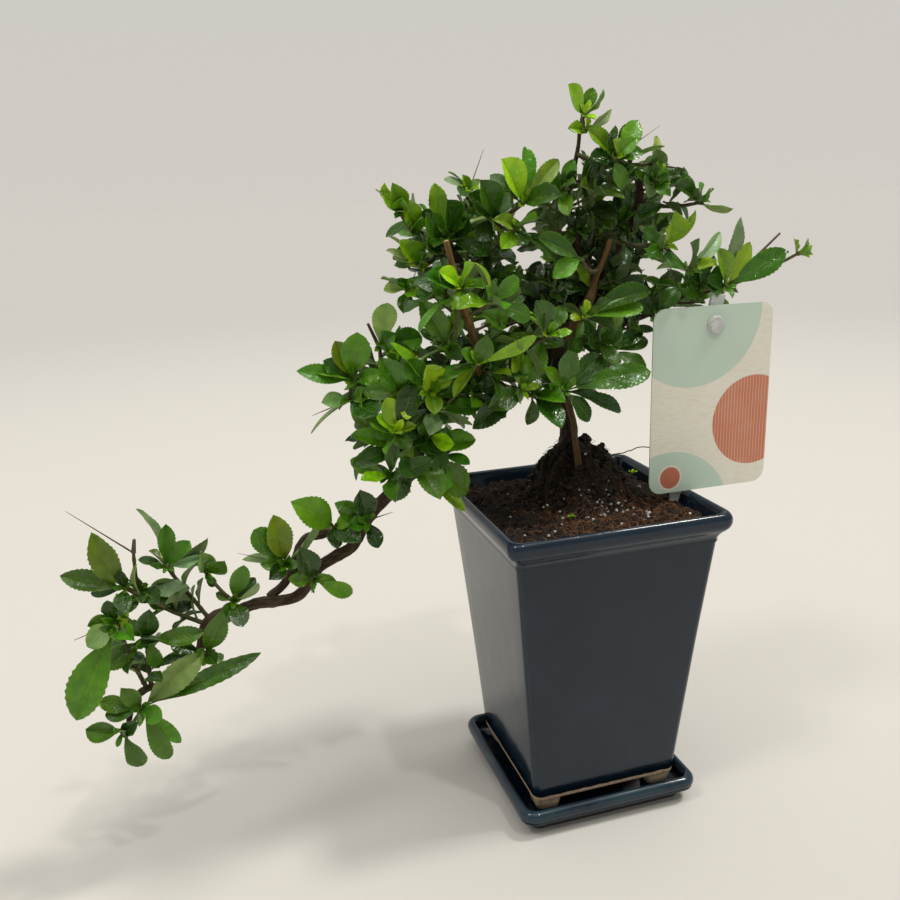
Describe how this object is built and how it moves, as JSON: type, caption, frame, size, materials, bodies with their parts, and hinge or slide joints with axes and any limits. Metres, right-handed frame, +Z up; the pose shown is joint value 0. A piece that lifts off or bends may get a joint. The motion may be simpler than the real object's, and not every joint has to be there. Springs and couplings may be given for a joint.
{
  "type": "cascade bonsai in a glazed pot",
  "caption": "Cascading small-leaved bonsai in a tall tapered square glazed pot on a square saucer, with a blank-lettered plant card on a clear stake.",
  "frame": {"origin": "centre of the saucer's flat underside, on the surface it stands on", "axes": "+Z up; the pot's sides run along X and Y; the pot's front and the card face -Y; the long branch cascades towards -X"},
  "size_m": [0.3975, 0.1415, 0.3914],
  "materials": {
    "glaze": "glossy dark navy glaze over pale clay",
    "peat": "loose dark brown peat with fibres and perlite",
    "root": "thin dry root",
    "bark": "matt reddish brown bark",
    "leaves": "glossy dark green, paler underneath",
    "young_leaves": "satin lime green",
    "card": "printed, satin",
    "clear_plastic": "translucent"
  },
  "bodies": {
    "root": {"saucer": "glaze", "pot": "glaze", "soil": "peat", "root_thread": "root", "plant_card": "card", "card_stake": "clear_plastic", "trunk": "bark", "second_stem": "bark", "cascade_stem": "bark", "cascade_loop": "bark", "left_limb": "bark", "lower_left_limb": "bark", "right_limb": "bark", "low_right_limb": "bark", "top_limb": "bark", "front_limb": "bark", "back_limb": "bark", "back_left_limb": "bark", "far_left": "leaves", "upper_fan": "leaves", "elbow_up": "leaves", "under_left": "leaves", "left_tuft": "leaves", "tail_fan": "leaves", "elbow": "leaves", "mid_big": "leaves", "mid_dark": "leaves", "loop_leaf": "leaves", "gate": "leaves", "pot_corner": "leaves", "knot": "leaves", "lime_front": "young_leaves", "centre_star": "leaves", "low_pair": "leaves", "left_fan": "leaves", "pale_back": "leaves", "left_low": "leaves", "left_hand": "leaves", "left_tip": "young_leaves", "olive_tall": "young_leaves", "front_left": "leaves", "round_dark": "leaves", "top_mid": "leaves", "top_tip": "young_leaves", "right_star": "leaves", "big_dark": "leaves", "front_centre": "leaves", "shoulder": "leaves", "right_lime": "young_leaves", "far_right": "leaves", "right_core": "leaves", "stub_collar": "leaves", "right_glossy": "leaves", "left_glossy": "leaves", "bottom_star": "leaves", "right_hang": "leaves", "back_left": "leaves", "back_top": "leaves", "back_right": "leaves", "back_low": "leaves"}
  },
  "joints": []
}
